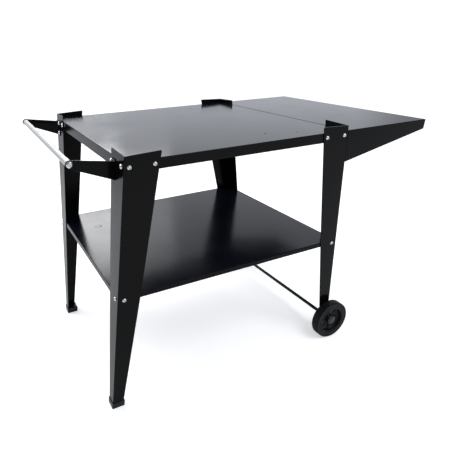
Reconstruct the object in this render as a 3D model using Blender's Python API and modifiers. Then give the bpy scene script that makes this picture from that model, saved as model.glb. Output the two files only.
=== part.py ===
"""A wheeled stand for a pizza oven: a folded sheet table with a side table and a shelf, on four splayed
legs, with a push handle and two wheels. Metres, +Z up. X runs along the stand, from the handle to the side
table, the front is towards -Y, and the floor is at Z = 0. X and Y are measured from the middle of the main
table, and an empty then puts the middle of the whole stand at X = 0."""

import math

import bmesh
import bpy
from mathutils import Matrix, Vector

# Legs: each is a sheet folded along the outer corner, whose two flanges narrow towards the floor
LEG_HEIGHT = 0.900  # floor to the top of the fold
LEG_TIP_RISE = 0.004  # a flange's top edge climbs this much from the fold to its free edge
LEG_SHEET = 0.0025
LEG_SPLAY = 0.0865  # how much further out along X the fold is at the floor than at the top
LEG_TUCK = 0.068  # how much further in along Y the fold is at the floor than at the top
FLANGE_WIDTH_TOP = 0.109
FLANGE_WIDTH_SHELF = 0.0765
FLANGE_WIDTH_FLOOR = 0.037
TIP_ROUNDING = 0.004  # of the flanges' free corners at the top
WHEEL_LEG_BOTTOM = 0.050  # the legs with wheels stop short of the floor

# Tables and shelf: half sizes are to the outer faces of the legs, at the top of the legs
HALF_LENGTH = 0.399
HALF_WIDTH = 0.4165
LEG_STOP = 0.0165  # the legs stand this much above the table
TABLE_EDGE = 0.033  # depth of the down-turned edges
SHELF_HEIGHT = 0.454
SHELF_EDGE = 0.0175
TABLE_SHEET = 0.002
FOLD_RADIUS = 0.003

# Side table
SIDE_TABLE_LENGTH = 0.392
SIDE_PLATE_DEPTH = 0.113  # its side plates at the legs
SIDE_END_DEPTH = 0.035  # the same plates, and the end flange, at the far end
SIDE_MOUNT_DEPTH = 0.040  # the flange bolted to the legs
SIDE_MOUNT_MARGIN = 0.008  # from the side plates to that flange

# Handle
HANDLE_OUT = 0.130  # from the legs' tops to the tube's axis
HANDLE_DROP = 0.004  # from the table's surface down to the tube's axis
HANDLE_RADIUS = 0.010
HANDLE_WALL = 0.0015
ARM_END_RADIUS = 0.012
ARM_TOP_DROP = 0.0115  # from the table's surface down to the arm's upper corner at the leg
ARM_DEPTH = 0.0545  # at the leg
BRACKET_SHEET = 0.0025
FRONT_BRACKET_FLANGE = 0.038
REAR_BRACKET_FLANGE = 0.055
BRACKET_CORNER = 0.008
FRONT_ARM_IN = 0.071  # from the half width to the arm's outer face
REAR_ARM_IN = 0.008
INSERT_LENGTH = 0.022
HANDLE_BOLT_HEAD = 0.0095
HANDLE_BOLT_LENGTH = 0.018
BRACKET_BOLT_RISE = 0.0135  # from the arm's lower corner at the leg up to the lower bolt
FRONT_BRACKET_BOLT_IN = 0.027  # from the arm's outer face to both bolts
REAR_BRACKET_BOLT_IN = 0.044
BRACKET_BOLT_MARGIN = 0.0095  # from the upper bolt to the flange's top

# Bolts with domed heads, and their nuts
BOLT_RADIUS = 0.004
HEAD_RADIUS = 0.007
HEAD_HEIGHT = 0.0044
NUT_FLATS = 0.013
NUT_HEIGHT = 0.0065
BOLT_TIP = 0.0015  # beyond the nut
TABLE_BOLT_DROP = 0.0155  # below the table's surface
SHELF_BOLT_DROP = 0.0105
SIDE_BOLT_1 = 0.016  # from the fold, on the flanges that face front and rear
SIDE_BOLT_2 = 0.0915
END_BOLT_1 = 0.020  # from the fold, on the flanges that face the ends
END_BOLT_2 = 0.098
SHELF_BOLT_IN = 0.0215

# Feet
FOOT_HEIGHT = 0.024
FOOT_FLOOR = 0.004
FOOT_WALL = 0.002
FOOT_SIDE = 0.045
FOOT_BEVEL = 0.0015

# Wheels, measured outwards from the leg's face at the height of the axle
WHEEL_RADIUS = 0.080
AXLE_GAP = 0.0042  # from the axle's hole to the leg's end flange
AXLE_RADIUS = 0.007
AXLE_CHAMFER = 0.0012
TYRE_START = 0.0075
TYRE_WIDTH = 0.035
TYRE_SHOULDER = 0.004
RIM_RADIUS = 0.058
RIM_WALL = 0.005
RIM_INSET = 0.002  # from the tyre's side to the rim's lip
WEB_START = 0.019
WEB_THICKNESS = 0.004
HUB_RADIUS = 0.018
HUB_LENGTH = 0.030
WASHER_START = 0.0016
WASHER_THICKNESS = 0.0018
WASHER_RADIUS = 0.013
CLIP_THICKNESS = 0.0014
CLIP_RADIUS = 0.0105
AXLE_END_SPARE = 0.0035  # of axle beyond the clip
CAP_WALL = 0.0015
CAP_OVERLAP = 0.007  # of the cap over the hub
CAP_END = 0.0025
CAP_ROUNDING = 0.008  # of the cap's face, inwards from its rim

# Making
CLEARANCE = 0.0003  # between pieces that touch
HOLE_CLEARANCE = 0.0004  # round a shank or the axle
MERGE = 0.00001  # points nearer than this are one
ROUND = 0.5  # the bevel profile that is an arc
BOLT_SIDES = 8
HOLE_SIDES = 12
AXLE_SIDES = 16
TUBE_SIDES = 20
WHEEL_SIDES = 32
ARM_END_STEPS = 8
DOME_STEPS = 3
FOLD_STEPS = 2
LEAST_FOLD = 0.5  # radians, and a flatter edge isn't rounded
CORNER_STEPS = 3
CUT_OUT, CUT_IN = 0.006, 0.011  # how far a drill reaches outside and inside the leg's face

TABLE_HEIGHT = LEG_HEIGHT - LEG_STOP
SIDE_TABLE_END = HALF_LENGTH + SIDE_TABLE_LENGTH
HANDLE_HEIGHT = TABLE_HEIGHT - HANDLE_DROP
HANDLE_REACH = HALF_LENGTH + HANDLE_OUT
ARM_TOP = TABLE_HEIGHT - ARM_TOP_DROP
ARM_BOTTOM = ARM_TOP - ARM_DEPTH
TABLE_BOLT_HEIGHT = TABLE_HEIGHT - TABLE_BOLT_DROP
# The brackets mirror each other: from each arm's outer face, its flange and the tube lie inwards
ARM_FACE_Y = {"front": FRONT_ARM_IN - HALF_WIDTH, "rear": HALF_WIDTH - REAR_ARM_IN}
INWARDS = {"front": 1, "rear": -1}
BRACKET_FLANGE = {"front": FRONT_BRACKET_FLANGE, "rear": REAR_BRACKET_FLANGE}
BRACKET_BOLT_IN = {"front": FRONT_BRACKET_BOLT_IN, "rear": REAR_BRACKET_BOLT_IN}
BRACKET_END_BOLT = {"front_left": 2, "rear_left": 1}  # the table bolt that also holds the bracket
BRACKET_BOLT_HEIGHT = ARM_BOTTOM + BRACKET_BOLT_RISE
BRACKET_TOP = TABLE_BOLT_HEIGHT + BRACKET_BOLT_MARGIN
AXLE_HEIGHT = WHEEL_RADIUS
END_TILT = LEG_SPLAY / LEG_HEIGHT
SIDE_TILT = LEG_TUCK / LEG_HEIGHT
# The stand's middle lies between the handle's end and the side table's end
MIDDLE_X = (SIDE_TABLE_END - HANDLE_REACH - ARM_END_RADIUS) / 2
CORNERS = {"front_left": (-1, -1), "rear_left": (-1, 1), "front_right": (1, -1), "rear_right": (1, 1)}


def half_length(z, inset=0.0):
    """From the middle to the end flanges' outer faces at height z, or to a plane inset behind them."""
    return HALF_LENGTH + END_TILT * (LEG_HEIGHT - z) - inset * math.hypot(1, END_TILT)


def half_width(z, inset=0.0):
    """The same for the outer faces of the front and rear flanges."""
    return HALF_WIDTH - SIDE_TILT * (LEG_HEIGHT - z) - inset * math.hypot(1, SIDE_TILT)


# The axle passes close inside the end flanges of the right legs
AXLE_X = half_length(AXLE_HEIGHT, LEG_SHEET) - AXLE_GAP - HOLE_CLEARANCE - AXLE_RADIUS


def flange_width(z):
    """A leg flange's width at height z: two straight tapers that meet at the shelf."""
    if z > SHELF_HEIGHT:
        share = (z - SHELF_HEIGHT) / (LEG_HEIGHT - SHELF_HEIGHT)
        return FLANGE_WIDTH_SHELF + share * (FLANGE_WIDTH_TOP - FLANGE_WIDTH_SHELF)
    return FLANGE_WIDTH_FLOOR + z / SHELF_HEIGHT * (FLANGE_WIDTH_SHELF - FLANGE_WIDTH_FLOOR)


def on_side_face(corner, along, z):
    """The point and the outward normal on a leg's front or rear flange, at a distance from its fold."""
    sx, sy = CORNERS[corner]
    point = Vector((sx * (half_length(z) - along), sy * half_width(z), z))
    return point, Vector((0, sy, -SIDE_TILT)).normalized()


def on_end_face(corner, along, z):
    """The point and the outward normal on a leg's end flange, at a distance from its fold."""
    sx, sy = CORNERS[corner]
    point = Vector((sx * half_length(z), sy * (half_width(z) - along), z))
    return point, Vector((sx, 0, END_TILT)).normalized()


def on_bracket(side, z):
    """The point on a left leg's end flange, and the normal there, where a bracket's bolt passes."""
    y = ARM_FACE_Y[side] + INWARDS[side] * BRACKET_BOLT_IN[side]
    return Vector((-half_length(z), y, z)), Vector((-1, 0, END_TILT)).normalized()


def start_scene():
    """Clears the scene, and makes the collections and the empty that carries the whole stand."""
    for old in list(bpy.data.objects):
        bpy.data.objects.remove(old)
    root = bpy.context.scene.collection
    stand = bpy.data.collections.new("pizza_oven_stand")
    cutters = bpy.data.collections.new("cutters")
    root.children.link(stand)
    root.children.link(cutters)
    cutters.hide_render = True
    middle = bpy.data.objects.new("stand_middle", None)
    middle.location = (-MIDDLE_X, 0, 0)
    stand.objects.link(middle)
    return stand, cutters, middle


STAND, CUTTERS, MIDDLE = start_scene()


def material(name, colour, roughness, metallic=0.0):
    made = bpy.data.materials.new(name)
    made.use_nodes = True
    shader = made.node_tree.nodes["Principled BSDF"]
    shader.inputs["Base Color"].default_value = (*colour, 1)
    shader.inputs["Roughness"].default_value = roughness
    shader.inputs["Metallic"].default_value = metallic
    made.diffuse_color = (*colour, 1)
    return made


POWDER_COAT = material("black_powder_coat", (0.018, 0.018, 0.020), 0.35)
STAINLESS = material("stainless_steel", (0.72, 0.71, 0.69), 0.25, 1.0)
ZINC = material("zinc_plated_steel", (0.75, 0.76, 0.78), 0.22, 1.0)
PLASTIC = material("black_plastic", (0.022, 0.022, 0.025), 0.45)
RUBBER = material("black_rubber", (0.020, 0.020, 0.021), 0.70)
BLACK_STEEL = material("blackened_steel", (0.030, 0.030, 0.032), 0.40, 0.6)


def add(name, mesh, finish=None, collection=STAND):
    """An object on the stand's empty. A cutter has no finish, and is hidden from renders."""
    made = bpy.data.objects.new(name, mesh)
    made.parent = MIDDLE
    collection.objects.link(made)
    if finish:
        if not mesh.materials:
            mesh.materials.append(finish)
    else:
        made.hide_render = True
        made.display_type = "WIRE"
    return made


def aim(made, point, direction):
    """Puts an object's origin at the point, with its own +Z along the direction."""
    made.location = point
    made.rotation_mode = "QUATERNION"
    made.rotation_quaternion = Vector(direction).to_track_quat("Z", "Y")
    return made


def mesh_from(name, shape):
    mesh = bpy.data.meshes.new(name)
    shape.to_mesh(mesh)
    shape.free()
    return mesh


def baked(name, made):
    """The mesh that an object's modifiers make, as a new mesh. The object is removed."""
    graph = bpy.context.evaluated_depsgraph_get()
    mesh = bpy.data.meshes.new_from_object(made.evaluated_get(graph))
    mesh.name = name
    bpy.data.objects.remove(made)
    return mesh


def boolean(made, operation, other=None, collection=None):
    change = made.modifiers.new(operation.lower(), "BOOLEAN")
    change.operation = operation
    change.solver = "EXACT"
    if collection:
        change.operand_type = "COLLECTION"
        change.collection = collection
    else:
        change.object = other


def solidify(made, thickness):
    """Gives a sheet its thickness, behind the surface that was drawn."""
    wall = made.modifiers.new("sheet", "SOLIDIFY")
    wall.thickness = thickness
    wall.offset = -1
    wall.use_even_offset = True


def surface(name, lines, outwards, folds=(), finish=POWDER_COAT, collection=STAND):
    """An open surface through lines of points, with the lines named in folds rounded as a bent sheet is."""
    shape = bmesh.new()
    rows = [[shape.verts.new(point) for point in line] for line in lines]
    for near, far in zip(rows, rows[1:]):
        for start in range(len(near) - 1):
            shape.faces.new((near[start], near[start + 1], far[start + 1], far[start]))
    shape.normal_update()
    facing = sum((face.normal * face.calc_area() for face in shape.faces), Vector())
    if facing.dot(Vector(outwards)) < 0:
        bmesh.ops.reverse_faces(shape, faces=shape.faces)
    folded = [shape.edges.get(pair) for row in folds for pair in zip(rows[row], rows[row][1:])]
    round_folds(shape, folded)
    return add(name, mesh_from(name, shape), finish, collection)


def round_folds(shape, edges):
    if edges:
        bmesh.ops.bevel(
            shape, geom=edges, offset=FOLD_RADIUS, offset_type="WIDTH", segments=FOLD_STEPS,
            profile=ROUND, affect="EDGES",
        )


def round_corners(made, radius, chosen):
    """Rounds the free corners of a sheet that lie where chosen says."""
    shape = bmesh.new()
    shape.from_mesh(made.data)
    corners = [vert for vert in shape.verts if chosen(vert.co)]
    bmesh.ops.bevel(
        shape, geom=corners, offset=radius, segments=CORNER_STEPS, profile=ROUND, affect="VERTICES"
    )
    shape.to_mesh(made.data)
    shape.free()


def turned(name, profile, sides, finish, ring=False):
    """A turned piece about its own Z. Its profile, (radius, height), runs down its outer side."""
    shape = bmesh.new()
    points = [shape.verts.new((radius, 0, height)) for radius, height in profile]
    for start, end in zip(points, points[1:]):
        shape.edges.new((start, end))
    if ring:
        shape.edges.new((points[-1], points[0]))
    made = add(name, mesh_from(name, shape), finish)
    turn = made.modifiers.new("turn", "SCREW")
    turn.steps = sides
    turn.render_steps = sides
    turn.use_merge_vertices = True
    turn.merge_threshold = MERGE
    return made


def tube_profile(outer, inner, low, high):
    return [(outer, high), (outer, low), (inner, low), (inner, high)]


# Drilling and bolting
HOLES = {corner: bpy.data.collections.new(f"holes_{corner}") for corner in CORNERS}
for hole_set in HOLES.values():
    CUTTERS.children.link(hole_set)
bolt_meshes = {}


def prism(name, radius, low, high, sides):
    """The mesh of a closed cylinder or prism about Z."""
    shape = bmesh.new()
    middle = Matrix.Translation((0, 0, (low + high) / 2))
    bmesh.ops.create_cone(
        shape, cap_ends=True, segments=sides, radius1=radius, radius2=radius, depth=high - low, matrix=middle
    )
    return mesh_from(name, shape)


def drill(corner, point, direction, radius):
    """A cutter across the sheets at a leg."""
    name = f"hole_{corner}_{len(HOLES[corner].objects)}"
    cutter = prism(name, radius, -CUT_IN, CUT_OUT, HOLE_SIDES)
    aim(add(name, cutter, collection=HOLES[corner]), point, direction)


def dome(radius, height, low):
    """The outline of a domed head, from its top down to its rim."""
    sphere = (radius**2 + height**2) / (2 * height)
    half_angle = math.asin(radius / sphere)
    angles = [half_angle * step / DOME_STEPS for step in range(DOME_STEPS + 1)]
    return [(sphere * math.sin(a), low + height - sphere * (1 - math.cos(a))) for a in angles]


def screw_profile(head_radius, length):
    rim = dome(head_radius, HEAD_HEIGHT, CLEARANCE)
    return [*rim, (BOLT_RADIUS, CLEARANCE), (BOLT_RADIUS, -length), (0, -length)]


def bolt_mesh(grip):
    """A domed bolt with its nut, for sheets that are this thick together. The head's seat is at height 0."""
    if grip not in bolt_meshes:
        nut_low = -grip - CLEARANCE - NUT_HEIGHT
        screw = turned("screw", screw_profile(HEAD_RADIUS, BOLT_TIP - nut_low), BOLT_SIDES, ZINC)
        hexagon = prism("nut", NUT_FLATS / math.sqrt(3), nut_low, nut_low + NUT_HEIGHT, 6)
        nut = add("nut", hexagon, ZINC)
        boolean(screw, "UNION", nut)
        bolt_meshes[grip] = baked(f"bolt_{round(grip * 1e4)}", screw)
        bpy.data.objects.remove(nut)
    return bolt_meshes[grip]


def bolt(name, corner, place, outer_sheets, grip):
    """A bolt through the sheets at a leg, and its hole. Outer sheets lie between its head and the leg."""
    point, normal = place
    drill(corner, point, normal, BOLT_RADIUS + HOLE_CLEARANCE)
    aim(add(name, bolt_mesh(grip), ZINC), point + normal * outer_sheets, normal)


def make_bolts():
    """The bolts at the table, at the shelf and in the handle's brackets."""
    leg_and_table = LEG_SHEET + CLEARANCE + TABLE_SHEET
    over_bracket = CLEARANCE + BRACKET_SHEET
    over_side_table = CLEARANCE + TABLE_SHEET
    shelf_bolts = SHELF_HEIGHT - SHELF_BOLT_DROP
    for corner, (sx, _) in CORNERS.items():
        for number, along in enumerate((SIDE_BOLT_1, SIDE_BOLT_2), 1):
            place = on_side_face(corner, along, TABLE_BOLT_HEIGHT)
            bolt(f"table_bolt_{corner}_side_{number}", corner, place, 0, leg_and_table)
        for number, along in enumerate((END_BOLT_1, END_BOLT_2), 1):
            place = on_end_face(corner, along, TABLE_BOLT_HEIGHT)
            outer = over_side_table if sx > 0 else 0
            if BRACKET_END_BOLT.get(corner) == number:
                place = on_bracket(corner.split("_")[0], TABLE_BOLT_HEIGHT)
                outer = over_bracket
            bolt(f"table_bolt_{corner}_end_{number}", corner, place, outer, leg_and_table + outer)
        place = on_side_face(corner, SHELF_BOLT_IN, shelf_bolts)
        bolt(f"shelf_bolt_{corner}_side", corner, place, 0, leg_and_table)
        place = on_end_face(corner, SHELF_BOLT_IN, shelf_bolts)
        bolt(f"shelf_bolt_{corner}_end", corner, place, 0, leg_and_table)
    for side in ARM_FACE_Y:
        place = on_bracket(side, BRACKET_BOLT_HEIGHT)
        bolt(f"bracket_bolt_{side}", f"{side}_left", place, over_bracket, over_bracket + LEG_SHEET)


def leg_lines(corner, bottom, top, grow=0.0):
    """A leg's three long edges, each from the bottom up: the side flange's, the fold and the end flange's."""
    sx, sy = CORNERS[corner]
    levels = sorted({bottom, *([SHELF_HEIGHT] if bottom < SHELF_HEIGHT < top else []), top})
    side_edge, fold, end_edge = [], [], []
    for z in levels:
        tip = z + LEG_TIP_RISE if z == LEG_HEIGHT else z
        width = flange_width(z) + grow
        fold.append((sx * half_length(z, -grow), sy * half_width(z, -grow), z))
        side_edge.append((sx * (half_length(tip) - width), sy * half_width(tip, -grow), tip))
        end_edge.append((sx * half_length(tip, -grow), sy * (half_width(tip) - width), tip))
    return side_edge, fold, end_edge


def make_leg(corner):
    sx, sy = CORNERS[corner]
    bottom = FOOT_FLOOR + CLEARANCE if sx < 0 else WHEEL_LEG_BOTTOM
    leg = surface(f"leg_{corner}", leg_lines(corner, bottom, LEG_HEIGHT), (sx, sy, 0), folds=(1,))
    round_corners(leg, TIP_ROUNDING, lambda point: point.z > LEG_HEIGHT + LEG_TIP_RISE / 2)
    solidify(leg, LEG_SHEET)
    if sx > 0:
        centre = (AXLE_X, sy * half_width(AXLE_HEIGHT), AXLE_HEIGHT)
        drill(corner, centre, (0, sy, 0), AXLE_RADIUS + HOLE_CLEARANCE)
    boolean(leg, "DIFFERENCE", collection=HOLES[corner])


def make_pan(name, height, edge):
    """A sheet with four down-turned edges that lie against the insides of the legs."""
    inset = LEG_SHEET + CLEARANCE
    shape = bmesh.new()
    bmesh.ops.create_grid(shape, x_segments=1, y_segments=1, size=1)
    rim = list(shape.edges)
    skirt = bmesh.ops.extrude_edge_only(shape, edges=rim)["geom"]
    low = {vert for vert in skirt if isinstance(vert, bmesh.types.BMVert)}
    for vert in shape.verts:
        z = height - edge if vert in low else height
        vert.co.x = math.copysign(half_length(z, inset), vert.co.x)
        vert.co.y = math.copysign(half_width(z, inset), vert.co.y)
        vert.co.z = z
    bmesh.ops.recalc_face_normals(shape, faces=shape.faces)
    round_folds(shape, [edge for edge in shape.edges if edge.is_manifold])
    pan = add(name, mesh_from(name, shape), POWDER_COAT)
    solidify(pan, TABLE_SHEET)
    boolean(pan, "DIFFERENCE", collection=CUTTERS)


def make_side_table():
    """A sheet with tapered side plates, an end flange and a flange that lies on the outside of the legs."""
    top = TABLE_HEIGHT
    plate_low, end_low = top - SIDE_PLATE_DEPTH, top - SIDE_END_DEPTH
    start, plate_start = half_length(top, -CLEARANCE), half_length(plate_low, -CLEARANCE)
    mount = half_width(top) - SIDE_MOUNT_MARGIN
    side = half_width(top)

    def plate_edge(sign):
        near = (plate_start, sign * half_width(plate_low), plate_low)
        return [near, (SIDE_TABLE_END, sign * half_width(end_low), end_low)]

    across = [[(start, y, top), (SIDE_TABLE_END, y, top)] for y in (-side, -mount, mount, side)]
    table = surface("side_table", [plate_edge(-1), *across, plate_edge(1)], (0, 0, 1))
    shape = bmesh.new()
    shape.from_mesh(table.data)

    def level_edge(edge, x):
        return all(abs(vert.co.x - x) < CLEARANCE and vert.co.z > top - CLEARANCE for vert in edge.verts)

    def turn_down(edges, depth, shift):
        """Folds a flange down, whose ends stay in the planes of the side plates."""
        new = bmesh.ops.extrude_edge_only(shape, edges=edges)["geom"]
        for vert in (item for item in new if isinstance(item, bmesh.types.BMVert)):
            vert.co.z -= depth
            vert.co.x += shift
            if abs(abs(vert.co.y) - side) < CLEARANCE:
                vert.co.y -= math.copysign(SIDE_TILT * depth, vert.co.y)

    def between_plates(edge):
        return all(abs(vert.co.y) < side - CLEARANCE for vert in edge.verts)

    turn_down([edge for edge in shape.edges if level_edge(edge, SIDE_TABLE_END)], SIDE_END_DEPTH, 0)
    inner = [edge for edge in shape.edges if level_edge(edge, start) and between_plates(edge)]
    turn_down(inner, SIDE_MOUNT_DEPTH, END_TILT * SIDE_MOUNT_DEPTH)
    bmesh.ops.remove_doubles(shape, verts=shape.verts, dist=MERGE)
    bmesh.ops.recalc_face_normals(shape, faces=shape.faces)
    if max(shape.faces, key=lambda face: face.calc_area()).normal.z < 0:
        bmesh.ops.reverse_faces(shape, faces=shape.faces)
    bent = [edge for edge in shape.edges if edge.is_manifold and edge.calc_face_angle() > LEAST_FOLD]
    round_folds(shape, bent)
    shape.to_mesh(table.data)
    shape.free()
    solidify(table, TABLE_SHEET)
    boolean(table, "DIFFERENCE", collection=CUTTERS)


def plate(name, outline, thickness, finish):
    """A flat plate from an outline in X and Z, centred on Y = 0."""
    curve = bpy.data.curves.new(name, "CURVE")
    curve.dimensions = "2D"
    curve.fill_mode = "BOTH"
    curve.extrude = thickness / 2
    line = curve.splines.new("POLY")
    line.points.add(len(outline) - 1)
    line.use_cyclic_u = True
    for point, (x, z) in zip(line.points, outline):
        point.co = (x, z, 0, 1)
    flat = bpy.data.objects.new(name, curve)
    STAND.objects.link(flat)
    mesh = baked(name, flat)
    shape = bmesh.new()
    shape.from_mesh(mesh)
    bmesh.ops.remove_doubles(shape, verts=shape.verts, dist=MERGE)
    bmesh.ops.transform(shape, matrix=Matrix.Rotation(math.pi / 2, 4, "X"), verts=shape.verts)
    shape.to_mesh(mesh)
    shape.free()
    return add(name, mesh, finish)


def arm_outline():
    """The arm narrows from the leg to a round end about the tube's axis."""
    foot = BRACKET_SHEET / 2  # the arm ends inside the flange's thickness
    upper = (-half_length(ARM_TOP) - foot, ARM_TOP)
    lower = (-half_length(ARM_BOTTOM) - foot, ARM_BOTTOM)
    centre = (-HANDLE_REACH, HANDLE_HEIGHT)

    def tangent_angle(point, side):
        dx, dz = point[0] - centre[0], point[1] - centre[1]
        return math.atan2(dz, dx) + side * math.acos(ARM_END_RADIUS / math.hypot(dx, dz))

    begin, end = tangent_angle(upper, 1), tangent_angle(lower, -1) + 2 * math.pi
    step = (end - begin) / ARM_END_STEPS
    # The extra point at half a turn is the end of the stand
    angles = sorted([math.pi, *(begin + step * number for number in range(ARM_END_STEPS + 1))])
    arc = [Vector(centre) + ARM_END_RADIUS * Vector((math.cos(a), math.sin(a))) for a in angles]
    return [upper, *arc, lower]


def make_bracket(side):
    """A plate folded into an arm and a flange, which lies on the leg's end face beside the arm."""
    outer, inwards = ARM_FACE_Y[side], INWARDS[side]
    middle = outer + inwards * BRACKET_SHEET / 2
    arm = plate(f"handle_bracket_{side}", arm_outline(), BRACKET_SHEET, POWDER_COAT)
    arm.location.y = middle
    face = CLEARANCE + BRACKET_SHEET  # from the leg's face out to the flange's
    edges = [
        [(-half_length(z, -face), outer + inwards * along, z) for z in (ARM_BOTTOM, BRACKET_TOP)]
        for along in (0, BRACKET_FLANGE[side])
    ]
    flange = surface(f"bracket_flange_{side}", edges, (-1, 0, 0))
    round_corners(flange, BRACKET_CORNER, lambda point: abs(point.y - outer) > BRACKET_SHEET)
    solidify(flange, BRACKET_SHEET)
    flange.hide_render = True
    flange.display_type = "WIRE"
    boolean(arm, "UNION", flange)
    boolean(arm, "DIFFERENCE", collection=HOLES[f"{side}_left"])
    cutter = prism("hole_handle", BOLT_RADIUS + HOLE_CLEARANCE, -CUT_OUT, CUT_OUT, HOLE_SIDES)
    hole = add(f"hole_handle_{side}", cutter, collection=CUTTERS)
    aim(hole, (-HANDLE_REACH, middle, HANDLE_HEIGHT), (0, 1, 0))
    boolean(arm, "DIFFERENCE", hole)


def make_handle():
    low, high = (ARM_FACE_Y[side] + INWARDS[side] * (BRACKET_SHEET + CLEARANCE) for side in ARM_FACE_Y)
    middle = (-HANDLE_REACH, (low + high) / 2, HANDLE_HEIGHT)
    half = (high - low) / 2
    bore = HANDLE_RADIUS - HANDLE_WALL
    walls = tube_profile(HANDLE_RADIUS, bore, -half, half)
    aim(turned("handle_tube", walls, TUBE_SIDES, STAINLESS, ring=True), middle, (0, 1, 0))
    insert = tube_profile(bore - CLEARANCE, BOLT_RADIUS + HOLE_CLEARANCE, -INSERT_LENGTH, 0)
    shank = screw_profile(HANDLE_BOLT_HEAD, HANDLE_BOLT_LENGTH)
    for side, tube_end, sign in (("front", low, -1), ("rear", high, 1)):
        plug = turned(f"handle_insert_{side}", insert, HOLE_SIDES, ZINC, ring=True)
        aim(plug, (-HANDLE_REACH, tube_end, HANDLE_HEIGHT), (0, sign, 0))
        seat = tube_end + sign * (CLEARANCE + BRACKET_SHEET)
        screw = turned(f"handle_bolt_{side}", shank, HOLE_SIDES, ZINC)
        aim(screw, (-HANDLE_REACH, seat, HANDLE_HEIGHT), (0, sign, 0))


def make_foot(side):
    """A cap with a slot for the end of a left leg, which leans with it."""
    corner = f"{side}_left"
    sx, sy = CORNERS[corner]
    shape = bmesh.new()
    bmesh.ops.create_cube(shape, size=1)
    bmesh.ops.bevel(shape, geom=shape.edges, offset=FOOT_BEVEL / FOOT_SIDE, segments=1, affect="EDGES")
    for vert in shape.verts:
        z = (vert.co.z + 0.5) * FOOT_HEIGHT
        outer_x, outer_y = half_length(z, -FOOT_WALL), half_width(z, -FOOT_WALL)
        in_x, in_y = ((0.5 - sign * along) * FOOT_SIDE for sign, along in ((sx, vert.co.x), (sy, vert.co.y)))
        vert.co = (sx * (outer_x - in_x), sy * (outer_y - in_y), z)
    foot = add(f"foot_{side}", mesh_from(f"foot_{side}", shape), PLASTIC)
    lines = leg_lines(corner, FOOT_FLOOR, 2 * FOOT_HEIGHT, grow=CLEARANCE)
    slot = surface(f"slot_{corner}", lines, (sx, sy, 0), finish=None, collection=CUTTERS)
    solidify(slot, LEG_SHEET + 2 * CLEARANCE)
    boolean(foot, "DIFFERENCE", slot)


def rim_profile():
    hub_low = WASHER_START + WASHER_THICKNESS + CLEARANCE
    hub_high = hub_low + HUB_LENGTH
    lip_low, lip_high = TYRE_START + RIM_INSET, TYRE_START + TYRE_WIDTH - RIM_INSET
    web_low, web_high = WEB_START, WEB_START + WEB_THICKNESS
    inside, bore = RIM_RADIUS - RIM_WALL, AXLE_RADIUS + HOLE_CLEARANCE
    outer_side = [(HUB_RADIUS, hub_high), (HUB_RADIUS, web_high), (inside, web_high), (inside, lip_high)]
    rim = [(RIM_RADIUS, lip_high), (RIM_RADIUS, lip_low), (inside, lip_low)]
    inner_side = [(inside, web_low), (HUB_RADIUS, web_low), (HUB_RADIUS, hub_low)]
    return [*outer_side, *rim, *inner_side, (bore, hub_low), (bore, hub_high)]


def tyre_profile():
    low, high = TYRE_START, TYRE_START + TYRE_WIDTH
    inner = RIM_RADIUS + CLEARANCE
    arc = [math.pi / 2 * step / DOME_STEPS for step in range(DOME_STEPS + 1)]
    centre = WHEEL_RADIUS - TYRE_SHOULDER
    upper = [(centre + TYRE_SHOULDER * math.sin(a), high - TYRE_SHOULDER * (1 - math.cos(a))) for a in arc]
    lower = [(radius, low + high - height) for radius, height in reversed(upper)]
    return [(inner, high), *upper, *lower, (inner, low)]


def cap_profile(hub_high, axle_end):
    inside = HUB_RADIUS + CLEARANCE
    outside = inside + CAP_WALL
    low, ceiling = hub_high - CAP_OVERLAP, axle_end + CAP_END
    high = ceiling + CAP_WALL
    turns = [math.pi / 2 * step / DOME_STEPS for step in range(DOME_STEPS + 1)]
    flat = outside - CAP_ROUNDING
    # The rim's drop stays within the cap's end, so that the wall keeps its thickness
    top = [(flat + CAP_ROUNDING * math.sin(a), high - 2 * CAP_WALL * (1 - math.cos(a))) for a in turns]
    return [(0, high), *top, (outside, low), (inside, low), (inside, ceiling), (0, ceiling)]


def make_wheels():
    """The axle through the right legs, and on each end a washer, a wheel, a clip and a cap."""
    face = half_width(AXLE_HEIGHT)
    hub_high = WASHER_START + WASHER_THICKNESS + CLEARANCE + HUB_LENGTH
    clip_low = hub_high + CLEARANCE
    axle_end = clip_low + CLIP_THICKNESS + AXLE_END_SPARE
    half = face + axle_end
    tip = AXLE_RADIUS - AXLE_CHAMFER
    straight = half - AXLE_CHAMFER
    upper = [(0, half), (tip, half), (AXLE_RADIUS, straight)]
    rod = upper + [(r, -z) for r, z in reversed(upper)]
    aim(turned("axle", rod, AXLE_SIDES, BLACK_STEEL), (AXLE_X, 0, AXLE_HEIGHT), (0, 1, 0))
    bore = AXLE_RADIUS + HOLE_CLEARANCE
    washer = tube_profile(WASHER_RADIUS, bore, WASHER_START, WASHER_START + WASHER_THICKNESS)
    clip = tube_profile(CLIP_RADIUS, AXLE_RADIUS + CLEARANCE, clip_low, clip_low + CLIP_THICKNESS)
    for side, sign in (("front", -1), ("rear", 1)):
        pieces = [
            turned(f"axle_washer_{side}", washer, AXLE_SIDES, ZINC, ring=True),
            turned(f"axle_clip_{side}", clip, HOLE_SIDES, ZINC, ring=True),
            turned(f"rim_{side}", rim_profile(), WHEEL_SIDES, PLASTIC, ring=True),
            turned(f"tyre_{side}", tyre_profile(), WHEEL_SIDES, RUBBER, ring=True),
            turned(f"hub_cap_{side}", cap_profile(hub_high, axle_end), TUBE_SIDES, PLASTIC),
        ]
        for piece in pieces:
            aim(piece, (AXLE_X, sign * face, AXLE_HEIGHT), (0, sign, 0))


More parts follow.
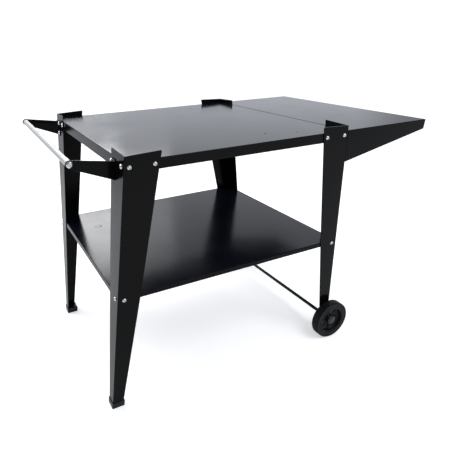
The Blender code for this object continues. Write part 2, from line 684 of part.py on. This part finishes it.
make_bolts()
for leg_name in CORNERS:
    make_leg(leg_name)
make_pan("top_tray", TABLE_HEIGHT, TABLE_EDGE)
make_pan("bottom_shelf", SHELF_HEIGHT, SHELF_EDGE)
make_side_table()
for end_name in ARM_FACE_Y:
    make_bracket(end_name)
    make_foot(end_name)
make_handle()
make_wheels()
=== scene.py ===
"""The looks of a wheeled stand for a pizza oven: black sheet, bright bolts and handle, black wheels."""

import math

import bmesh
import bpy
from mathutils import Matrix, Vector


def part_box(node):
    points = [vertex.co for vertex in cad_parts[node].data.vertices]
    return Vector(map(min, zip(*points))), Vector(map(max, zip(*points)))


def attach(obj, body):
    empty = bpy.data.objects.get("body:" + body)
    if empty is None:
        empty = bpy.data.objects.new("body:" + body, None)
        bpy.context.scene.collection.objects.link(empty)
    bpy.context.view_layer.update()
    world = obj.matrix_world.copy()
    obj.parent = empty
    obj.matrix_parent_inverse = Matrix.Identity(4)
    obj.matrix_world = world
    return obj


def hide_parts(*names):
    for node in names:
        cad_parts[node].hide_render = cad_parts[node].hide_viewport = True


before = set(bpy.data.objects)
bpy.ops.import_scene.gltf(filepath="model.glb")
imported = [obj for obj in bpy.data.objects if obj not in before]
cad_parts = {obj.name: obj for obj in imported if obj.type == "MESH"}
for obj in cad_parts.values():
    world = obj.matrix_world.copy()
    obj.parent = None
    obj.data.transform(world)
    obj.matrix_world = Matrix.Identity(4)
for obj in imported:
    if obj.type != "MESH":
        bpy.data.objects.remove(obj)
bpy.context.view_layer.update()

# The camera of the photograph, whose frame is 450 x 450 pixels
PHOTO_SIZE = 450
FOCAL_PX = 441.22
CENTRE_PX = (182.32, 224.15)
AZIMUTH, ELEVATION, ROLL = math.radians(-26.099), math.radians(23.138), math.radians(-1.319)
TARGET_HEIGHT = 0.45
CAMERA_SHIFT = (0.0268, -0.0164)  # of the target, to the camera's right and up
CAMERA_DISTANCE = 1.8421
SENSOR_MM = 36.0

# Leans of the legs, and so of the bolts on them
END_TILT = 0.0865 / 0.900
SIDE_TILT = 0.068 / 0.900

# Sheet: what is welded and smoothed in a copy of a CAD solid, and how its cut edges are rounded
WELD = 0.000001
FLAT = math.radians(0.3)
SHARP = math.radians(50)
EDGE_ROUNDING = 0.0004
FOOT_ROUNDING = 0.0009
HOLE_STEP = 0.003  # longer than each edge round a bolt hole
CREASE = math.radians(38)  # a turned piece is smooth across flatter edges than this

# Bolts with domed heads and nuts
HEAD_HEIGHT = 0.0044
DOME_HEIGHT = 0.0041  # of the finished head, which leans and stays in the box of the plain one
HEAD_RIM = 0.0007
SOCKET_FLATS = 0.0050
SOCKET_DEPTH = 0.0026
SHANK_RADIUS = 0.004
NUT_FLATS = 0.013
NUT_HEIGHT = 0.0065
NUT_CHAMFER = 0.0008
BOLT_TIP = 0.0015
TIP_CHAMFER = 0.0005
SOCKET_TURN = math.radians(37)  # from one bolt to the next
ROUND_STEPS = 48
HANDLE_HEAD_RADIUS = 0.0095
HEAD_RADIUS = 0.007

# Wheels, whose profiles run along the axle from the leg's outer face
TYRE_INSIDE, TYRE_RADIUS = 0.0583, 0.080
TYRE_START, TYRE_END = 0.0075, 0.0425
TREAD_SHOULDER = 0.004
GROOVE_WIDTH, GROOVE_DEPTH = 0.0022, 0.0014
GROOVE_FLOOR = 0.6  # of a groove's width
GROOVES = (0.0135, 0.0210, 0.0290, 0.0365)
TREAD_BLOCKS = 48
NOTCH_DEPTH = 0.0009
RIBS = 8
RIB_WIDTH = 0.003
RIB_ROUNDING = 0.0006
RIM_STEPS = 96

top_low, top_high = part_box("top_tray")
TABLE_MIDDLE = Vector(((top_low.x + top_high.x) / 2, 0, 0))


# Shader nodes
def node(tree, kind, inputs=None, **settings):
    """Adds a shader node. An input that is another node's output is linked, and any other is set."""
    made = tree.nodes.new("ShaderNode" + kind)
    for name, value in settings.items():
        setattr(made, name, value)
    for name, value in (inputs or {}).items():
        if isinstance(value, bpy.types.NodeSocket):
            tree.links.new(value, made.inputs[name])
        else:
            made.inputs[name].default_value = value
    return made


def blank_material(name, **values):
    """A new material, its tree and its shader, with values that are the same all over the surface."""
    made = bpy.data.materials.new(name)
    made.use_nodes = True
    shader = made.node_tree.nodes["Principled BSDF"]
    for key, value in values.items():
        shader.inputs[key.replace("_", " ")].default_value = value
    return made, made.node_tree, shader


def link(tree, output, shader, name):
    tree.links.new(output, shader.inputs[name])


def place(tree, scale=(1, 1, 1)):
    """Places on the object, in metres, stretched by a scale."""
    where = node(tree, "TexCoord").outputs["Object"]
    return node(tree, "Mapping", {"Vector": where, "Scale": scale}).outputs["Vector"]


def noise(tree, at, scale, detail=2.0, rough=0.5):
    made = node(tree, "TexNoise", {"Vector": at, "Scale": scale, "Detail": detail, "Roughness": rough})
    return made.outputs["Fac"]


def spread(tree, value, low, high, to_low=0.0, to_high=1.0, smooth=False):
    """The value from low to high, spread to run between two others."""
    limits = {"Value": value, "From Min": low, "From Max": high, "To Min": to_low, "To Max": to_high}
    kind = "SMOOTHSTEP" if smooth else "LINEAR"
    return node(tree, "MapRange", limits, clamp=True, interpolation_type=kind).outputs["Result"]


def mix_colour(tree, share, first, second):
    made = node(tree, "Mix", data_type="RGBA")
    for socket, value in ((0, share), (6, first), (7, second)):
        if isinstance(value, bpy.types.NodeSocket):
            tree.links.new(value, made.inputs[socket])
        else:
            made.inputs[socket].default_value = value
    return made.outputs[2]


def maths(tree, operation, first, second=0.0):
    made = node(tree, "Math", operation=operation)
    for socket, value in enumerate((first, second)):
        if isinstance(value, bpy.types.NodeSocket):
            tree.links.new(value, made.inputs[socket])
        else:
            made.inputs[socket].default_value = value
    return made.outputs[0]


def bump(tree, height, strength, distance):
    made = node(tree, "Bump", {"Height": height, "Strength": strength, "Distance": distance})
    return made.outputs["Normal"]


def spot(tree, here, point, radius, soft):
    """One inside a small round mark at a point on the object, and none outside."""
    distance = node(tree, "VectorMath", {0: here, 1: point}, operation="DISTANCE").outputs["Value"]
    return spread(tree, distance, radius, radius + soft, 1.0, 0.0)


def ring_mark(tree, here, point, radius, width):
    """One on a thin broken ring round a point on the object, and none elsewhere."""
    distance = node(tree, "VectorMath", {0: here, 1: point}, operation="DISTANCE").outputs["Value"]
    away = maths(tree, "ABSOLUTE", maths(tree, "SUBTRACT", distance, radius))
    broken = spread(tree, noise(tree, here, 90.0), 0.45, 0.6)
    return maths(tree, "MULTIPLY", spread(tree, away, 0.0, width, 1.0, 0.0), broken)


# Materials
# The one powder coat is made in two copies: a lit copy for faces that look up, glossier and a touch
# lighter, and a shaded copy for upright faces, duller and darker. The difference between them is painted
# sheen and painted shade.
LIT_TOP_GLOSS = 0.15  # a specular level at which grazing views are bright and square ones are black
SHADED_UPRIGHT_GLOSS = 0.11
SPOT_EDGE, SPOT_DULLNESS = 0.002, 0.6
RING_WIDTH, RING_DULLNESS = 0.004, 0.4


def powder_coat(name, gloss, black, dust, rough_low, rough_high, spots=(), rings=()):
    """Semi-gloss black powder coat: fine orange peel, clouded gloss, a little dust and a few marks."""
    made, tree, shader = blank_material(name, Specular_IOR_Level=gloss)
    here = place(tree)
    cloud = noise(tree, here, 5.0, 4.0, 0.6)
    specks = noise(tree, here, 420.0, 2.0)
    dusty = maths(tree, "MULTIPLY", spread(tree, cloud, 0.45, 0.75), spread(tree, specks, 0.5, 0.7))
    rough = spread(tree, cloud, 0.3, 0.7, rough_low, rough_high)
    for point, radius in spots:
        mark = spot(tree, here, point, radius, SPOT_EDGE)
        rough = maths(tree, "ADD", rough, maths(tree, "MULTIPLY", mark, SPOT_DULLNESS))
    for point, radius in rings:
        mark = ring_mark(tree, here, point, radius, RING_WIDTH)
        rough = maths(tree, "ADD", rough, maths(tree, "MULTIPLY", mark, RING_DULLNESS))
    link(tree, mix_colour(tree, dusty, black, dust), shader, "Base Color")
    link(tree, rough, shader, "Roughness")
    peel = noise(tree, here, 900.0, 3.0, 0.55)
    link(tree, bump(tree, peel, 0.12, 0.0001), shader, "Normal")
    return made


def brushed_steel(name, colour, rough_low, rough_high):
    """Satin metal, with fine lines that run round the tube."""
    made, tree, shader = blank_material(name, Metallic=1.0)
    lines = noise(tree, place(tree, (30, 30, 2500)), 1.0, 3.0)
    cloud = noise(tree, place(tree), 25.0, 3.0)
    darker = tuple(0.82 * part for part in colour[:3]) + (1,)
    link(tree, mix_colour(tree, spread(tree, lines, 0.3, 0.7), darker, colour), shader, "Base Color")
    lined = spread(tree, lines, 0.3, 0.7, rough_low, rough_high)
    link(tree, maths(tree, "ADD", lined, spread(tree, cloud, 0.4, 0.7, 0, 0.06)), shader, "Roughness")
    link(tree, bump(tree, lines, 0.2, 0.0001), shader, "Normal")
    return made


def zinc_plate(name, colour):
    made, tree, shader = blank_material(name, Metallic=1.0)
    grain = noise(tree, place(tree), 600.0, 3.0)
    cloud = noise(tree, place(tree), 90.0, 2.0)
    darker = tuple(0.78 * part for part in colour[:3]) + (1,)
    link(tree, mix_colour(tree, spread(tree, cloud, 0.35, 0.7), colour, darker), shader, "Base Color")
    link(tree, spread(tree, grain, 0.3, 0.7, 0.18, 0.36), shader, "Roughness")
    link(tree, bump(tree, grain, 0.15, 0.0001), shader, "Normal")
    return made


def moulded(name, colour, worn, rough_low, rough_high, grain_scale, grain_depth, gloss):
    """Moulded plastic or rubber: a fine grain, and a little wear."""
    made, tree, shader = blank_material(name, Specular_IOR_Level=gloss)
    here = place(tree)
    cloud = noise(tree, here, 30.0, 4.0, 0.6)
    grain = noise(tree, here, grain_scale, 3.0)
    link(tree, mix_colour(tree, spread(tree, cloud, 0.45, 0.75), colour, worn), shader, "Base Color")
    link(tree, spread(tree, grain, 0.3, 0.7, rough_low, rough_high), shader, "Roughness")
    link(tree, bump(tree, grain, 0.3, grain_depth), shader, "Normal")
    return made


# Marks in the photograph: each has its middle and its radius
TABLE_SPOTS = (((0.0095, -0.309, 0.8835), 0.0034), ((0.112, -0.3455, 0.8835), 0.0028))
SHELF_RINGS = (((-0.455, 0.198, 0.454), 0.013),)

# Lit copies of the coat for the tops of the table and the shelf: painted sheen, glossier and a touch
# lighter than the upright faces of the same sheet.
LIT_TOP_COAT = powder_coat(
    "lit_top_coat", LIT_TOP_GLOSS, black=(0.004, 0.005, 0.007, 1), dust=(0.016, 0.017, 0.019, 1),
    rough_low=0.12, rough_high=0.19, spots=TABLE_SPOTS,
)
LIT_SHELF_COAT = powder_coat(
    "lit_shelf_coat", LIT_TOP_GLOSS, black=(0.003, 0.004, 0.008, 1), dust=(0.016, 0.017, 0.019, 1),
    rough_low=0.14, rough_high=0.21, rings=SHELF_RINGS,
)
# Shaded copy of the same coat for upright faces, legs and brackets: painted shade, duller and darker than
# the tops.
SHADED_UPRIGHT_COAT = powder_coat(
    "leg_coat", SHADED_UPRIGHT_GLOSS, black=(0.002, 0.002, 0.002, 1), dust=(0.010, 0.009, 0.008, 1),
    rough_low=0.15, rough_high=0.22,
)
STAINLESS = brushed_steel("stainless", colour=(0.53, 0.52, 0.48, 1), rough_low=0.20, rough_high=0.30)
ZINC = zinc_plate("zinc", colour=(0.80, 0.81, 0.82, 1))
PLASTIC = moulded(
    "wheel_plastic", colour=(0.005, 0.005, 0.007, 1), worn=(0.012, 0.012, 0.014, 1),
    rough_low=0.28, rough_high=0.42, grain_scale=700, grain_depth=0.0001, gloss=0.30,
)
CAP_PLASTIC = moulded(
    "cap_plastic", colour=(0.012, 0.012, 0.018, 1), worn=(0.020, 0.020, 0.026, 1),
    rough_low=0.14, rough_high=0.22, grain_scale=500, grain_depth=0.00004, gloss=0.5,
)
RUBBER = moulded(
    "tread_rubber", colour=(0.004, 0.004, 0.006, 1), worn=(0.012, 0.012, 0.014, 1),
    rough_low=0.42, rough_high=0.6, grain_scale=500, grain_depth=0.00015, gloss=0.22,
)
AXLE_STEEL = moulded(
    "axle_steel", colour=(0.004, 0.004, 0.004, 1), worn=(0.012, 0.012, 0.012, 1),
    rough_low=0.28, rough_high=0.42, grain_scale=300, grain_depth=0.0001, gloss=0.18,
)


# Pieces
def piece(name, shape, material, body, replaced, where=Matrix()):
    """A mesh that rides a body and stands for a CAD node."""
    bmesh.ops.recalc_face_normals(shape, faces=shape.faces)
    for face in shape.faces:
        face.smooth = True
    mesh = bpy.data.meshes.new(name)
    shape.to_mesh(mesh)
    shape.free()
    mesh.materials.append(material)
    made = bpy.data.objects.new(name, mesh)
    made.matrix_world = where
    bpy.context.scene.collection.objects.link(made)
    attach(made, body)
    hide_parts(replaced)
    return made


def refined(name, material, rounding=EDGE_ROUNDING, shade_copy=None, joined=True):
    """A copy of a CAD solid whose cut edges, apart from its bolt holes, are rounded to catch the light."""
    shape = bmesh.new()
    shape.from_mesh(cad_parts[name].data)
    bmesh.ops.remove_doubles(shape, verts=shape.verts, dist=WELD)
    if joined:
        bmesh.ops.dissolve_limit(shape, angle_limit=FLAT, verts=shape.verts, edges=shape.edges)
    sharp = [edge for edge in shape.edges if edge.is_manifold and edge.calc_face_angle_signed() > SHARP]
    cut = [edge for edge in sharp if edge.calc_length() > HOLE_STEP]
    bmesh.ops.bevel(
        shape, geom=cut, offset=rounding, segments=2, profile=0.5, affect="EDGES", clamp_overlap=False,
    )
    low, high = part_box(name)
    for vert in shape.verts:
        vert.co = [min(max(at, least), most) for at, least, most in zip(vert.co, low, high)]
    made = piece(f"{name}_finished", shape, material, "frame", name)
    # Faces that look up keep the lit copy of the coat; all other faces take the shaded copy, a painted
    # shade of the same coat.
    if shade_copy:
        made.data.materials.append(shade_copy)
        for face in made.data.polygons:
            face.material_index = 0 if face.normal.z > 0.5 else 1
    made.modifiers.new("even_faces", "WEIGHTED_NORMAL").weight = 100


def rings_to_mesh(rings, closed=False):
    """A solid of stacked rings, each a list of as many points, or of one point at a closed end."""
    shape = bmesh.new()
    made = [[shape.verts.new(point) for point in ring] for ring in rings]
    pairs = list(zip(made, made[1:] + made[:1])) if closed else list(zip(made, made[1:]))
    for low, high in pairs:
        steps = max(len(low), len(high))
        for step in range(steps):
            after = (step + 1) % steps
            corners = [low[step % len(low)], low[after % len(low)]]
            corners += [high[after % len(high)], high[step % len(high)]]
            shape.faces.new(list(dict.fromkeys(corners)))
    return shape


def ring(radius, height, steps=ROUND_STEPS):
    """A round ring about Z, or one point where the radius is none."""
    if radius == 0:
        return [(0, 0, height)]
    turns = (2 * math.pi * step / steps for step in range(steps))
    return [(radius * math.cos(turn), radius * math.sin(turn), height) for turn in turns]


def hexagon(flats, height, most=math.inf, steps=ROUND_STEPS):
    """A hexagonal ring about Z, cut back to a circle of a radius at its corners."""
    points = []
    for step in range(steps):
        turn = 2 * math.pi * step / steps
        radius = min(most, flats / 2 / math.cos((turn + math.pi / 6) % (math.pi / 3) - math.pi / 6))
        points.append((radius * math.cos(turn), radius * math.sin(turn), height))
    return points


def soften(made):
    made.data.set_sharp_from_angle(angle=CREASE)


def bolt_axis(name):
    """The direction that a bolt's head faces, which its name tells."""
    sx = 1 if "right" in name else -1
    sy = 1 if "rear" in name else -1
    if name.startswith("handle"):
        return Vector((0, sy, 0))
    if "_side" in name:
        return Vector((0, sy, -SIDE_TILT)).normalized()
    return Vector((sx, 0, END_TILT)).normalized()


def head_rings(radius):
    """A domed head with a hexagonal socket, from its seat to the bottom of the socket."""
    rings = [ring(radius * 0.97, 0), ring(radius, 0.0002), ring(radius, HEAD_RIM)]
    socket = SOCKET_FLATS * radius / HEAD_RADIUS
    mouth = 0.62 * socket
    for share in (0.2, 0.4, 0.6, 0.8, 1.0):
        across = radius + (mouth - radius) * share
        rise = HEAD_RIM + (DOME_HEIGHT - HEAD_RIM) * math.sin(math.pi / 2 * share)
        rings.append(ring(across, rise))
    rings.append(hexagon(socket, DOME_HEIGHT - 0.0002))
    rings.append(hexagon(socket, DOME_HEIGHT - SOCKET_DEPTH))
    rings.append(ring(0, DOME_HEIGHT - SOCKET_DEPTH - 0.0006))
    return rings


def nut_rings(low):
    """A nut with chamfered corners, from its seat down to its outer face, and the bolt's tip beyond it."""
    outer = low - NUT_HEIGHT
    widest = NUT_FLATS / 2 / math.cos(math.pi / 6)
    flat = NUT_FLATS * 0.48
    return [
        ring(flat, low), hexagon(NUT_FLATS, low - NUT_CHAMFER / 2, most=widest * 0.98),
        hexagon(NUT_FLATS, low - NUT_CHAMFER), hexagon(NUT_FLATS, outer + NUT_CHAMFER),
        hexagon(NUT_FLATS, outer + NUT_CHAMFER / 2, most=widest * 0.98), ring(flat, outer),
        ring(SHANK_RADIUS + 0.0004, outer), ring(SHANK_RADIUS, outer - 0.0003),
        ring(SHANK_RADIUS, outer - BOLT_TIP + TIP_CHAMFER),
        ring(SHANK_RADIUS - TIP_CHAMFER, outer - BOLT_TIP), ring(0, outer - BOLT_TIP),
    ]


def make_bolt(name, number):
    """A bolt where the CAD has one, its socket turned by chance as a fitter leaves it."""
    axis = bolt_axis(name)
    corners = {tuple(round(c, 6) for c in vert.co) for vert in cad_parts[name].data.vertices}
    points = [Vector(point) for point in corners]
    levels = [axis.dot(point) for point in points]
    middle = sum(points, Vector()) / len(points)
    seat = max(levels) - HEAD_HEIGHT
    length = seat - min(levels)
    turn = axis.to_track_quat("Z", "Y").to_matrix().to_4x4() @ Matrix.Rotation(SOCKET_TURN * number, 4, "Z")
    where = Matrix.Translation(middle + axis * (seat - axis.dot(middle))) @ turn
    if name.startswith("handle"):
        radius = HANDLE_HEAD_RADIUS
        shank = [ring(0, -length), ring(SHANK_RADIUS - TIP_CHAMFER, -length)]
        shank += [ring(SHANK_RADIUS, TIP_CHAMFER - length)]
    else:
        radius = HEAD_RADIUS
        nut_seat = BOLT_TIP + NUT_HEIGHT - length
        shank = nut_rings(nut_seat)[::-1] + [ring(SHANK_RADIUS, nut_seat)]
    shape = rings_to_mesh(shank + [ring(SHANK_RADIUS, 0)] + head_rings(radius))
    shape.transform(where)
    soften(piece(f"{name}_finished", shape, ZINC, "frame", name))


def along_axle(side):
    """The place on the axle's line at a right leg's outer face, with Z outwards."""
    sign = 1 if side == "rear" else -1
    low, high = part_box(f"tyre_{side}")
    centre = (low + high) / 2
    inner = min(abs(low.y), abs(high.y))
    centre.y = sign * (inner - TYRE_START)
    turn = Vector((0, sign, 0)).to_track_quat("Z", "Y").to_matrix().to_4x4()
    return Matrix.Translation(centre) @ turn


def tyre_profile():
    """Radius and height along the tread, from the inner bead to the outer one."""
    corner = TYRE_RADIUS - TREAD_SHOULDER
    arc = [math.radians(step) for step in (0, 30, 60, 90)]
    first = []
    for angle in arc:
        height = TYRE_START + TREAD_SHOULDER * (1 - math.cos(angle))
        first.append((corner + TREAD_SHOULDER * math.sin(angle), height))
    last = [(radius, TYRE_START + TYRE_END - height) for radius, height in reversed(first)]
    floor = TYRE_RADIUS - GROOVE_DEPTH
    half = GROOVE_WIDTH / 2
    cuts = []
    for middle in GROOVES:
        cuts += [(TYRE_RADIUS, middle - half), (floor, middle - half * GROOVE_FLOOR)]
        cuts += [(floor, middle + half * GROOVE_FLOOR), (TYRE_RADIUS, middle + half)]
    sunk = TYRE_START + 0.0006
    bead = [(TYRE_INSIDE, TYRE_START), (0.0625, TYRE_START), (0.0633, sunk)]
    bead += [(0.0705, sunk), (0.0713, TYRE_START)]
    face = [(radius, TYRE_START + TYRE_END - height) for radius, height in reversed(bead)]
    return bead + first + cuts + last + face


def make_tyre(side):
    """A tread with grooves round it and notches across its shoulders."""
    rings = []
    steps = 4 * TREAD_BLOCKS
    shoulder = GROOVES[0] - TYRE_START - GROOVE_WIDTH / 2
    for radius, height in tyre_profile():
        near_side = min(height - TYRE_START, TYRE_END - height) < shoulder
        notched = near_side and radius > TYRE_RADIUS - TREAD_SHOULDER * 0.8
        points = []
        for step in range(steps):
            across = radius - NOTCH_DEPTH if notched and step % 4 == 0 else radius
            turn = 2 * math.pi * step / steps
            points.append((across * math.cos(turn), across * math.sin(turn), height))
        rings.append(points)
    shape = rings_to_mesh(rings, closed=True)
    name, body = f"tyre_{side}", f"wheel_{side}"
    soften(piece(f"{name}_finished", shape, RUBBER, body, name, along_axle(side)))


RIM_PROFILE_MM = (
    (7.4, 4.2), (7.9, 3.7), (17.2, 3.7), (18.0, 4.5), (18.0, 17.5), (19.5, 19.0), (50.5, 19.0),
    (53.0, 16.5), (53.0, 10.3), (53.8, 9.5), (57.3, 9.5), (58.0, 10.2), (58.0, 39.8), (57.3, 40.5),
    (54.0, 40.5), (53.0, 39.5), (52.2, 27.0), (50.0, 24.0), (42.0, 23.0), (41.0, 22.2), (30.0, 22.2),
    (29.0, 23.0), (20.0, 23.6), (18.2, 25.5), (18.0, 33.2), (17.5, 33.7), (7.9, 33.7), (7.4, 33.2),
)
RIB_OUTLINE_MM = ((19.5, 21.5), (19.5, 26.0), (26.0, 25.0), (46.0, 25.0), (52.6, 30.0), (52.6, 21.5))


def make_rim(side):
    """A dished disc with a hub, a lip and low ribs between them."""
    profile = [ring(radius / 1000, height / 1000, RIM_STEPS) for radius, height in RIM_PROFILE_MM]
    shape = rings_to_mesh(profile, closed=True)
    outline = [(x / 1000, z / 1000) for x, z in RIB_OUTLINE_MM]
    for number in range(RIBS):
        turn = Matrix.Rotation(2 * math.pi * number / RIBS, 4, "Z")
        sides = []
        for y in (-RIB_WIDTH / 2, RIB_WIDTH / 2):
            sides.append([shape.verts.new(turn @ Vector((x, y, z))) for x, z in outline])
        walls = [shape.faces.new(corners) for corners in sides]
        for step in range(len(outline)):
            after = (step + 1) % len(outline)
            shape.faces.new((sides[0][step], sides[0][after], sides[1][after], sides[1][step]))
        edges = [edge for wall in walls for edge in wall.edges]
        bmesh.ops.bevel(shape, geom=edges, offset=RIB_ROUNDING, segments=2, profile=0.5, affect="EDGES")
    name, body = f"rim_{side}", f"wheel_{side}"
    soften(piece(f"{name}_finished", shape, PLASTIC, body, name, along_axle(side)))


CAP_PROFILE_MM = (
    (0, 42.9), (5.0, 42.85), (9.0, 42.7), (12.5, 42.3), (15.3, 41.5), (17.5, 40.2), (19.0, 38.4),
    (19.7, 36.2), (19.8, 34.5), (19.8, 27.4), (19.3, 26.7), (18.3, 26.7), (18.3, 40.0), (10.0, 41.4),
    (0, 41.4),
)


def make_turned(name, profile_mm, material, body, where, closed=False):
    rings = [ring(radius / 1000, height / 1000) for radius, height in profile_mm]
    shape = rings_to_mesh(rings, closed=closed)
    soften(piece(f"{name}_finished", shape, material, body, name, where))


def ring_profile(outer, inner, low, high, chamfer):
    """A washer or a tube in section, in millimetres, with chamfered corners."""
    return (
        (inner + chamfer, low), (outer - chamfer, low), (outer, low + chamfer), (outer, high - chamfer),
        (outer - chamfer, high), (inner + chamfer, high), (inner, high - chamfer), (inner, low + chamfer),
    )


def make_wheel(side):
    where = along_axle(side)
    make_tyre(side)
    make_rim(side)
    make_turned(f"hub_cap_{side}", CAP_PROFILE_MM, CAP_PLASTIC, f"wheel_{side}", where)
    washer, clip = ring_profile(13.0, 7.4, 1.6, 3.4, 0.3), ring_profile(10.5, 7.3, 34.0, 35.4, 0.25)
    make_turned(f"axle_washer_{side}", washer, ZINC, "frame", where, closed=True)
    make_turned(f"axle_clip_{side}", clip, ZINC, "frame", where, closed=True)


def along_y(name):
    """A CAD rod's or tube's middle, with Z along its length, and half of that length."""
    low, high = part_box(name)
    turn = Vector((0, 1, 0)).to_track_quat("Z", "Y").to_matrix().to_4x4()
    return Matrix.Translation((low + high) / 2) @ turn, 1000 * (high.y - low.y) / 2


def make_axle():
    where, half = along_y("axle")
    profile = (
        (0, -half), (5.8, -half), (7.0, 1.2 - half), (7.0, 0), (7.0, half - 1.2), (5.8, half), (0, half),
    )
    make_turned("axle", profile, AXLE_STEEL, "frame", where)


def make_tube():
    where, half = along_y("handle_tube")
    profile = ring_profile(10.0, 8.5, -half, half, 0.35)
    make_turned("handle_tube", profile, STAINLESS, "frame", where, closed=True)


# Tops take the lit copy of the coat and their upright faces the shaded copy: painted sheen and painted
# shade on one coat.
for part in ("top_tray", "side_table"):
    refined(part, LIT_TOP_COAT, shade_copy=SHADED_UPRIGHT_COAT)
refined("bottom_shelf", LIT_SHELF_COAT, shade_copy=SHADED_UPRIGHT_COAT)
LEGS = ("leg_front_left", "leg_rear_left", "leg_front_right", "leg_rear_right")
for part in LEGS + ("handle_bracket_front", "handle_bracket_rear"):
    refined(part, SHADED_UPRIGHT_COAT)
for part in ("foot_front", "foot_rear"):
    refined(part, PLASTIC, FOOT_ROUNDING, joined=False)
for order, part in enumerate(sorted(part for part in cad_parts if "bolt" in part)):
    make_bolt(part, order)
for end in ("front", "rear"):
    make_wheel(end)
    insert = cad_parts[f"handle_insert_{end}"]
    insert.data.materials.clear()
    insert.data.materials.append(ZINC)
make_axle()
make_tube()


# Camera
def add_camera():
    sin_a, cos_a = math.sin(AZIMUTH), math.cos(AZIMUTH)
    sin_e, cos_e = math.sin(ELEVATION), math.cos(ELEVATION)
    back = Vector((sin_a * cos_e, -cos_a * cos_e, sin_e))
    level_right = Vector((cos_a, sin_a, 0))
    level_up = back.cross(level_right)
    right = math.cos(ROLL) * level_right + math.sin(ROLL) * level_up
    up = back.cross(right)
    data = bpy.data.cameras.new("camera")
    data.sensor_width = SENSOR_MM
    data.lens = FOCAL_PX * SENSOR_MM / PHOTO_SIZE
    data.shift_x = (PHOTO_SIZE / 2 - CENTRE_PX[0]) / PHOTO_SIZE
    data.shift_y = (CENTRE_PX[1] - PHOTO_SIZE / 2) / PHOTO_SIZE
    camera = bpy.data.objects.new("camera", data)
    target = TABLE_MIDDLE + Vector((0, 0, TARGET_HEIGHT)) - CAMERA_SHIFT[0] * right - CAMERA_SHIFT[1] * up
    turn = Matrix((right, up, back)).transposed().to_4x4()
    camera.matrix_world = Matrix.Translation(target + CAMERA_DISTANCE * back) @ turn
    bpy.context.scene.collection.objects.link(camera)
    bpy.context.scene.camera = camera


# Studio
def add_softbox(name, place_at, look_at, size, power, colour=(1, 1, 1)):
    data = bpy.data.lights.new(name, "AREA")
    data.shape = "RECTANGLE"
    data.size, data.size_y = size
    data.energy = power
    data.color = colour
    lamp = bpy.data.objects.new(name, data)
    lamp.location = place_at
    lamp.rotation_mode = "QUATERNION"
    lamp.rotation_quaternion = (Vector(look_at) - Vector(place_at)).to_track_quat("-Z", "Y")
    lamp.visible_camera = False
    bpy.context.scene.collection.objects.link(lamp)


def add_world():
    """A white room to the camera, and in reflections a little darker in front and to the right."""
    world = bpy.data.worlds.new("studio")
    world.use_nodes = True
    bpy.context.scene.world = world
    tree = world.node_tree
    tree.nodes.clear()
    path = node(tree, "LightPath").outputs
    shown = maths(tree, "MAXIMUM", path["Is Camera Ray"], path["Is Transmission Ray"])
    where = node(tree, "TexCoord").outputs["Generated"]
    axes = node(tree, "SeparateXYZ", {"Vector": where}).outputs
    behind = spread(tree, axes["Y"], -0.3, 0.4, 0.25, 1.0, smooth=True)
    rightwards = spread(tree, axes["X"], 0.72, 0.80, 1.0, 0.5, smooth=True)
    glossy = maths(tree, "MULTIPLY", path["Is Glossy Ray"], maths(tree, "MULTIPLY", behind, rightwards))
    diffuse = maths(tree, "MULTIPLY", path["Is Diffuse Ray"], 0.7)
    level = maths(tree, "ADD", maths(tree, "ADD", glossy, diffuse), shown)
    colour = mix_colour(tree, shown, (0.94, 0.98, 1.06, 1), (1, 1, 1, 1))
    background = node(tree, "Background", {"Color": colour, "Strength": level})
    output = node(tree, "OutputWorld")
    tree.links.new(background.outputs[0], output.inputs["Surface"])


def add_floor():
    """A pale floor, which is white where it is seen and keeps the stand's shadow."""
    shape = bmesh.new()
    bmesh.ops.create_grid(shape, x_segments=1, y_segments=1, size=30)
    mesh = bpy.data.meshes.new("floor")
    shape.to_mesh(mesh)
    shape.free()
    floor = bpy.data.objects.new("floor", mesh)
    bpy.context.scene.collection.objects.link(floor)
    made, tree, _ = blank_material("floor")
    tree.nodes.clear()
    path = node(tree, "LightPath").outputs
    seen = maths(tree, "MAXIMUM", path["Is Camera Ray"], path["Is Transmission Ray"])
    shown = maths(tree, "MAXIMUM", seen, path["Is Glossy Ray"])
    colour = mix_colour(tree, shown, (0.45, 0.41, 0.37, 1), (0.95, 0.95, 0.95, 1))
    plain = node(tree, "BsdfDiffuse", {"Color": colour})
    glow = node(tree, "Emission", {"Color": (1, 1, 1, 1), "Strength": maths(tree, "MULTIPLY", seen, 0.42)})
    both = node(tree, "AddShader")
    output = node(tree, "OutputMaterial")
    tree.links.new(plain.outputs[0], both.inputs[0])
    tree.links.new(glow.outputs[0], both.inputs[1])
    tree.links.new(both.outputs[0], output.inputs["Surface"])
    mesh.materials.append(made)


bpy.context.scene.view_settings.view_transform = "Standard"
add_camera()
add_world()
add_floor()
add_softbox("key", (-1.2, 1.8, 2.6), (0, 0, 0.5), (2.0, 1.5), 45)
add_softbox("window", (0.82, 6.06, 3.25), (-0.45, 0.1, 0.454), (1.5, 1.3), 46)
add_softbox("window_edge", (1.85, 5.75, 3.2), (-0.45, 0.1, 0.454), (1.1, 1.3), 6)
add_softbox("cap_window", (0.59, -1.67, 2.23), (0.339, -0.42, 0.08), (1.2, 0.9), 17)
